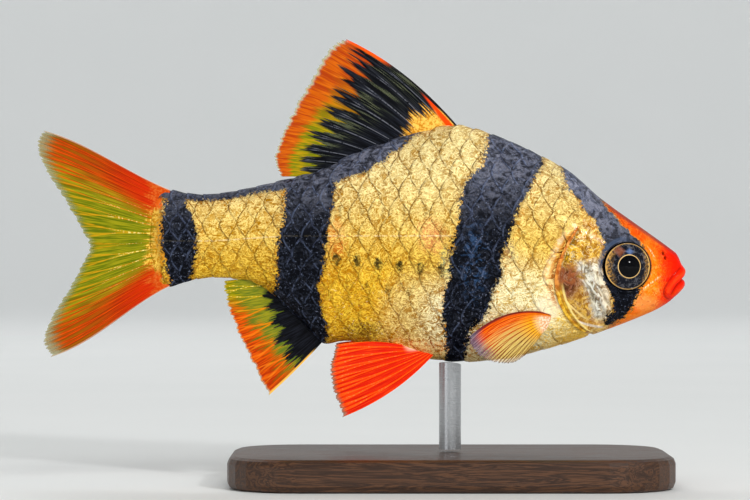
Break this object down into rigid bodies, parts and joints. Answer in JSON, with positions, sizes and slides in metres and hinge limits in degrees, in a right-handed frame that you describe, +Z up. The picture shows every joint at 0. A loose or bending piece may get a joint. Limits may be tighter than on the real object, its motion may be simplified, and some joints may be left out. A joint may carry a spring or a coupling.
{
  "type": "tiger barb display model",
  "caption": "Still life-size tiger barb, a deep-bodied striped aquarium fish with red fins, held level over a flat stand by one short rod.",
  "frame": {"origin": "centre of the stand base's underside, under the fish's rod", "axes": "+X towards the snout, +Y towards the fish's left side, +Z up"},
  "size_m": [0.0649, 0.026, 0.0445],
  "materials": {
    "skin": "painted cast resin, satin to gloss",
    "gill": "painted cast resin, gloss",
    "eye": "polished",
    "dark_fin": "painted cast resin, satin",
    "red_fin": "painted cast resin, satin",
    "base": "dark stained, satin",
    "rod": "brushed"
  },
  "bodies": {
    "root": {"head": "skin", "torso": "skin", "tail_stalk": "skin", "gill_cover_left": "gill", "gill_cover_right": "gill", "eye_left": "eye", "eye_right": "eye", "dorsal_fin": "dark_fin", "anal_fin": "red_fin", "caudal_fin_upper": "red_fin", "caudal_fin_lower": "red_fin", "pelvic_fin_left": "red_fin", "pelvic_fin_right": "red_fin", "pectoral_fin_left": "red_fin", "pectoral_fin_right": "red_fin", "stand_base": "base", "stand_rod": "rod"}
  },
  "joints": []
}
